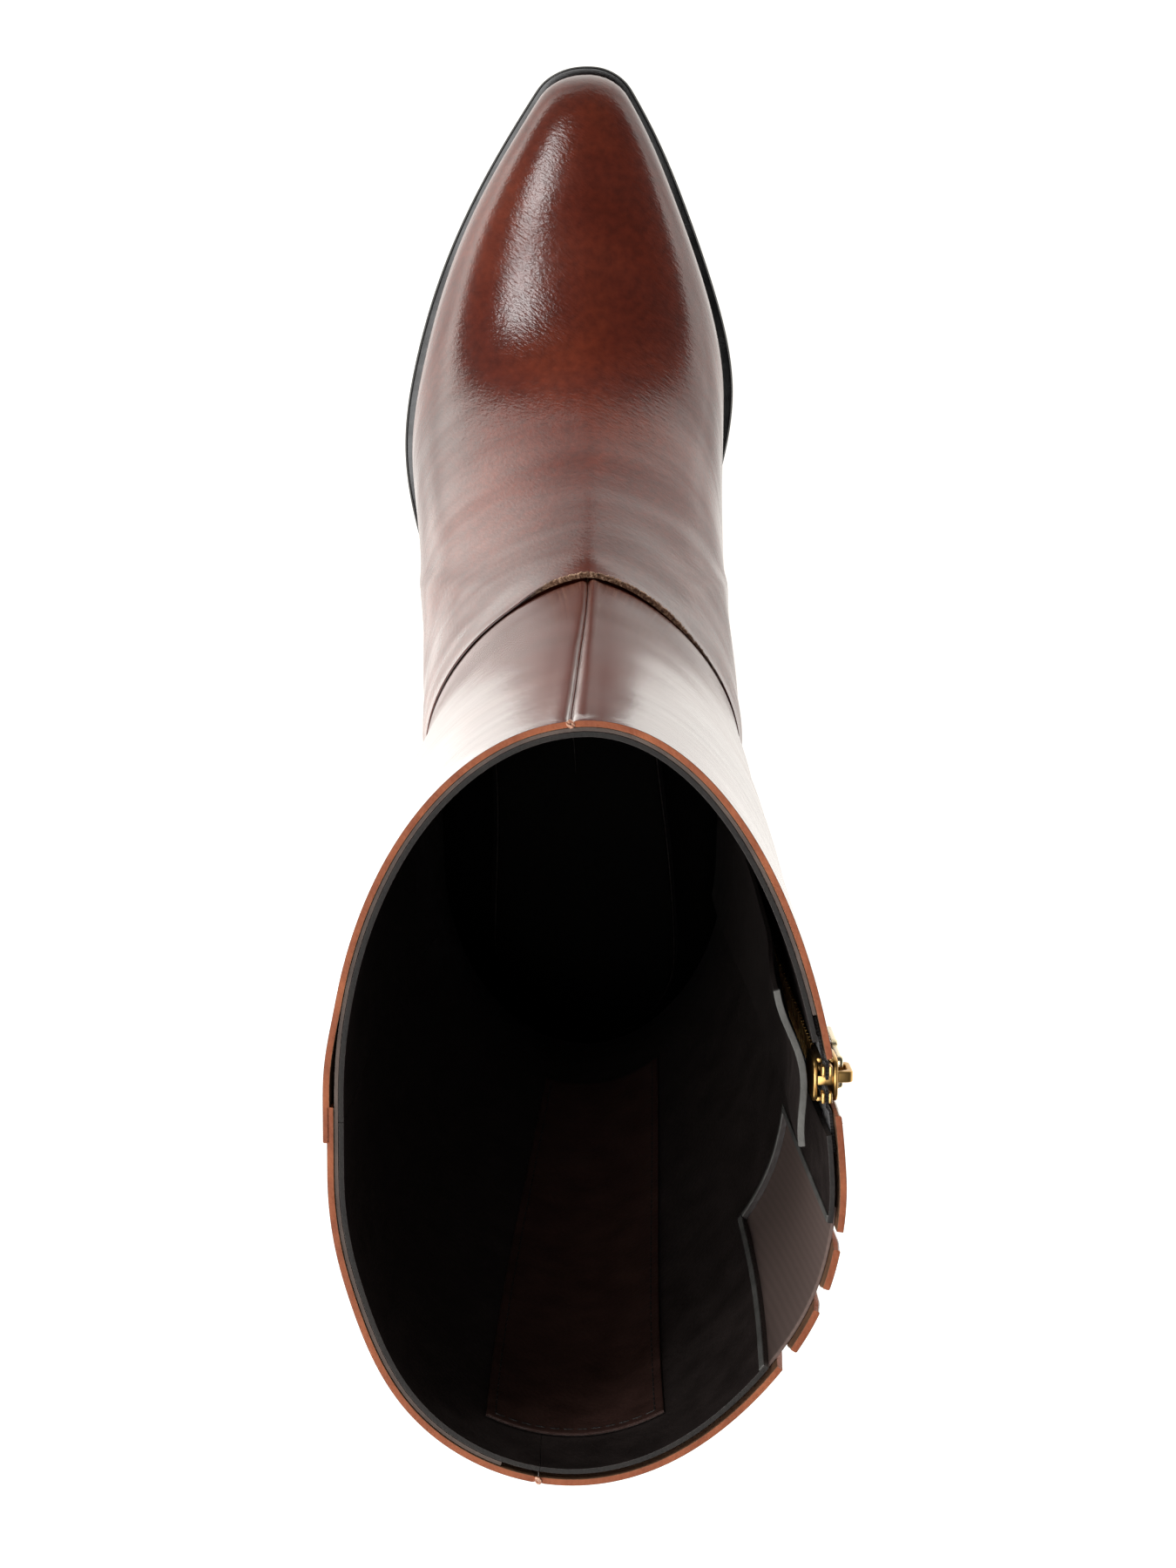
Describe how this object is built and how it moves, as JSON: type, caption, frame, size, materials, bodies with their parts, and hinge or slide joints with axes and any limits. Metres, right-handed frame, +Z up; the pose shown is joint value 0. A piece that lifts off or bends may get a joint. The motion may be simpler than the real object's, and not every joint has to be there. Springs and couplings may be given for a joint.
{
  "type": "riding boot",
  "caption": "Knee-high left riding boot in brown leather with an inside zip, an elastic calf gore and a low stacked heel.",
  "frame": {"origin": "on the floor under the middle of the boot's bounding box", "axes": "+Z up the shaft, toe towards -Y, outer side of the foot towards +X"},
  "size_m": [0.1031, 0.293, 0.4001],
  "materials": {
    "leather_outer": "polished",
    "leather_lining": "matt",
    "sole_rubber": "satin",
    "heel_stack": "waxed",
    "fibre_board": "matt",
    "cork": "matt",
    "stiffener": "matt",
    "steel": "plain",
    "tape": "woven",
    "elastic": "ribbed weave",
    "zip_metal": "polished"
  },
  "bodies": {
    "boot": {"vamp": "leather_outer", "counter_cover": "leather_outer", "shaft_front_lateral": "leather_outer", "shaft_front_medial": "leather_outer", "shaft_back_lateral": "leather_outer", "shaft_back_medial": "leather_outer", "gore_strip_1": "leather_outer", "gore_strip_2": "leather_outer", "vamp_lining": "leather_lining", "heel_lining": "leather_lining", "lining_front": "leather_lining", "lining_back_lateral": "leather_lining", "lining_back_medial": "leather_lining", "lining_back_patch": "leather_lining", "zip_guard": "leather_lining", "sock_lining": "leather_lining", "outsole": "sole_rubber", "heel_top_piece": "sole_rubber", "heel_lift_1": "heel_stack", "heel_lift_2": "heel_stack", "heel_lift_3": "heel_stack", "heel_lift_4": "heel_stack", "welt": "heel_stack", "heel_rand": "heel_stack", "insole_board": "fibre_board", "shank_board": "fibre_board", "cork_filler": "cork", "toe_puff": "stiffener", "heel_counter": "stiffener", "steel_shank": "steel", "heel_nails": "steel", "heel_screw": "steel", "top_piece_pins": "steel", "zip_tape_front": "tape", "zip_tape_rear": "tape", "topline_tape": "tape", "gore_elastic": "elastic", "zip_teeth_front": "zip_metal", "zip_teeth_rear": "zip_metal", "zip_top_stops": "zip_metal", "zip_bottom_stop": "zip_metal"},
    "slider": {"zip_slider": "zip_metal"},
    "pull": {"zip_pull": "zip_metal"}
  },
  "joints": [
    {"name": "zip_slide", "type": "slide", "parent": "boot", "child": "slider", "axis": [0.0281, -0.0295, -0.9992], "range_m": [0, 0.2305], "deforming": ["zip_teeth_front", "zip_teeth_rear"]},
    {"name": "pull_swing", "type": "hinge", "parent": "slider", "child": "pull", "pos_m": [-0.04778, 0.06955, 0.38636], "axis": [0.0008, 0.9996, -0.0295], "range_deg": [0, 165]}
  ]
}
